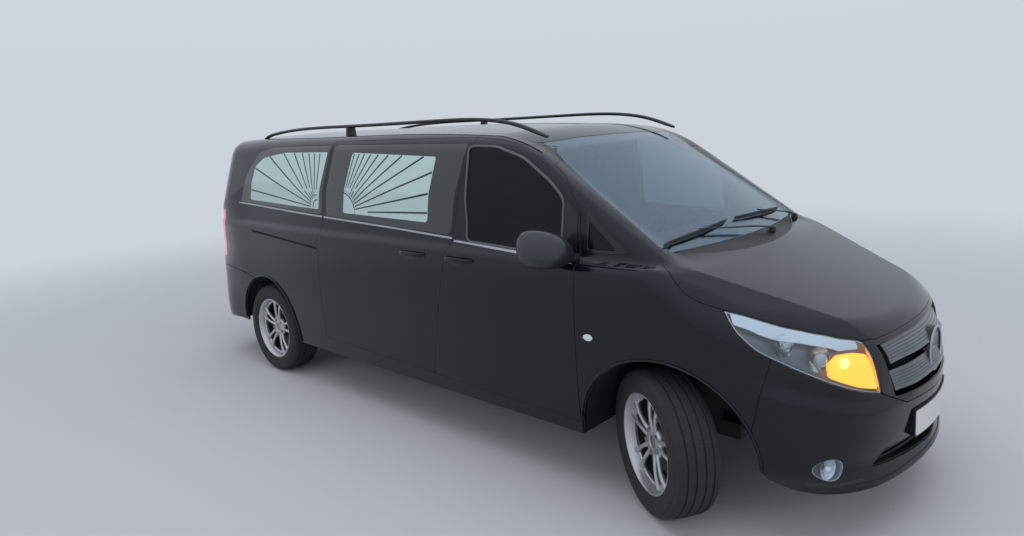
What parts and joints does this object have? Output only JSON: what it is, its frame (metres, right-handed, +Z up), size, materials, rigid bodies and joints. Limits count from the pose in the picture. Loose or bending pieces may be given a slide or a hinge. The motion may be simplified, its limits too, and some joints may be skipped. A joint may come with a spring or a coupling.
{
  "type": "hearse",
  "caption": "Long mid-size van fitted out as a hearse, with a coffin deck behind a closed cab, opening doors, lids, steering and turning wheels.",
  "frame": {"origin": "on the ground, at the middle of the bounding box", "axes": "+X forward, +Y the vehicle's left, +Z up"},
  "size_m": [5.3766, 2.24, 1.865],
  "materials": {
    "black_paint": "gloss",
    "tyre": "matte",
    "alloy_rim": "satin",
    "clear_glass": "gloss",
    "dark_glass": "gloss",
    "lamp_lens": "gloss",
    "tail_lens": "gloss",
    "black_plastic": "matte",
    "mirror_housing": "satin",
    "rail_black": "satin",
    "seat_cloth": "woven",
    "deck_board": "satin",
    "floor_paint": "satin",
    "dark_steel": "matte"
  },
  "bodies": {
    "body": {"right_sliding_door": "black_paint", "left_sliding_door": "black_paint", "right_side_panel": "black_paint", "left_side_panel": "black_paint", "right_side_glass": "dark_glass", "left_side_glass": "dark_glass", "front_bumper": "black_paint", "headlamps": "lamp_lens", "fog_lamps": "lamp_lens", "grille": "black_plastic", "front_wings": "black_paint", "roof_panel": "black_paint", "windscreen": "clear_glass", "rear_bumper": "black_paint", "tail_lamps": "tail_lens", "rear_axle": "dark_steel", "front_subframe": "dark_steel", "engine_block": "dark_steel", "floor_pan": "floor_paint", "partition": "black_plastic", "dashboard": "black_plastic", "cowl_panel": "black_plastic", "steering_wheel": "black_plastic", "front_seats": "seat_cloth", "coffin_deck": "deck_board", "roof_rails": "rail_black"},
    "right_door": {"right_front_door": "black_paint", "right_door_glass": "dark_glass", "right_mirror": "mirror_housing"},
    "left_door": {"left_front_door": "black_paint", "left_door_glass": "dark_glass", "left_mirror": "mirror_housing"},
    "bonnet": {"bonnet": "black_paint"},
    "tailgate": {"tailgate": "black_paint", "tailgate_glass": "dark_glass"},
    "right_hub": {"right_knuckle": "dark_steel"},
    "left_hub": {"left_knuckle": "dark_steel"},
    "right_front_wheel": {"right_front_tyre": "tyre", "right_front_rim": "alloy_rim"},
    "right_rear_wheel": {"right_rear_tyre": "tyre", "right_rear_rim": "alloy_rim"},
    "left_front_wheel": {"left_front_tyre": "tyre", "left_front_rim": "alloy_rim"},
    "left_rear_wheel": {"left_rear_tyre": "tyre", "left_rear_rim": "alloy_rim"}
  },
  "joints": [
    {"name": "steer_right", "type": "hinge", "parent": "body", "child": "right_hub", "pos_m": [1.79, -0.76, 0.338], "axis": [0, 0, 1], "range_deg": [-6, 62]},
    {"name": "steer_left", "type": "hinge", "parent": "body", "child": "left_hub", "pos_m": [1.79, 0.76, 0.338], "axis": [0, 0, 1], "range_deg": [-6, 62]},
    {"name": "right_front_wheel_spin", "type": "hinge", "parent": "right_hub", "child": "right_front_wheel", "pos_m": [1.75088, -0.82164, 0.338], "axis": [0.5358, 0.8443, 0], "continuous": true},
    {"name": "left_front_wheel_spin", "type": "hinge", "parent": "left_hub", "child": "left_front_wheel", "pos_m": [1.822, 0.82561, 0.338], "axis": [0.4384, 0.8988, 0], "continuous": true},
    {"name": "right_rear_wheel_spin", "type": "hinge", "parent": "body", "child": "right_rear_wheel", "pos_m": [-1.64, -0.823, 0.338], "axis": [0, 1, 0], "continuous": true},
    {"name": "left_rear_wheel_spin", "type": "hinge", "parent": "body", "child": "left_rear_wheel", "pos_m": [-1.64, 0.823, 0.338], "axis": [0, 1, 0], "continuous": true},
    {"name": "right_front_door_hinge", "type": "hinge", "parent": "body", "child": "right_door", "pos_m": [1.348, -0.958, 0.7], "axis": [0, 0, 1], "range_deg": [0, 65]},
    {"name": "left_front_door_hinge", "type": "hinge", "parent": "body", "child": "left_door", "pos_m": [1.348, 0.958, 0.7], "axis": [0, 0, -1], "range_deg": [0, 65]},
    {"name": "tailgate_hinge", "type": "hinge", "parent": "body", "child": "tailgate", "pos_m": [-2.535, 0, 1.745], "axis": [0, 1, 0], "range_deg": [0, 85]},
    {"name": "bonnet_hinge", "type": "hinge", "parent": "body", "child": "bonnet", "pos_m": [1.69, 0, 1.13], "axis": [0, -1, 0], "range_deg": [0, 50]}
  ],
  "couplings": [
    {"joint": "steer_left", "follows": "steer_right", "ratio": 1}
  ]
}
